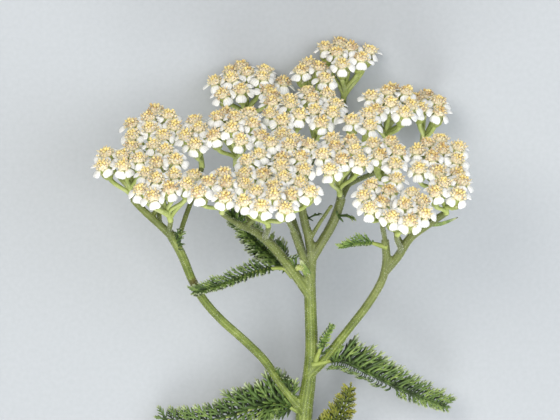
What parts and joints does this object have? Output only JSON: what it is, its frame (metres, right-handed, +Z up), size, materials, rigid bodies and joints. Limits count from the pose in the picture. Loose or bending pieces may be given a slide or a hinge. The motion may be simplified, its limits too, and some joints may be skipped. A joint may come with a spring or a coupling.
{
  "type": "yarrow plant",
  "caption": "Flowering stem of yarrow as cut, lying on its side: a ridged branching stem, finely divided feathery leaves and a broad flat-topped head of small white daisies.",
  "frame": {"origin": "the middle of the plant's outline seen from above, on the surface that it lies on", "axes": "+Y runs along the surface from the cut end of the stem towards the flower head, +Z is up off the surface, and +X is to the right seen from above with the flower head at the top. The stem rises from its cut end by about 28 degrees"},
  "size_m": [0.0934, 0.1021, 0.0698],
  "materials": {
    "stem_green": "matt, finely ridged and downy",
    "leaf_green": "matt, downy",
    "leaf_yellow_green": "matt, downy",
    "ray_white": "matt, slightly waxy petals",
    "disc_cream": "matt florets with golden anthers",
    "cup_green": "matt overlapping bracts"
  },
  "bodies": {
    "root": {"leaf_axil": "leaf_green", "leaf_foot": "leaf_yellow_green", "leaf_lower_left": "leaf_green", "leaf_lower_right": "leaf_green", "leaf_middle": "leaf_green", "leaf_middle_back": "leaf_green", "leaf_upper_right": "leaf_green", "spray_back_centre": "ray_white", "spray_back_far_left": "ray_white", "spray_back_far_right": "ray_white", "spray_back_left": "ray_white", "spray_back_right": "ray_white", "spray_centre": "ray_white", "spray_centre_front": "ray_white", "spray_centre_left": "ray_white", "spray_centre_right": "ray_white", "spray_far_right": "ray_white", "spray_front_centre": "ray_white", "spray_front_far_left": "ray_white", "spray_front_left": "ray_white", "spray_front_right_inner": "ray_white", "spray_front_right_outer": "ray_white", "spray_inner_left": "ray_white", "spray_mid_far_left": "ray_white", "spray_mid_left": "ray_white", "spray_mid_right": "ray_white", "spray_small_right": "ray_white", "spray_tip_left": "ray_white", "spray_tip_right": "ray_white", "spray_top": "ray_white", "spray_top_centre_left": "ray_white", "spray_top_centre_right": "ray_white", "stem": "stem_green"}
  },
  "joints": []
}
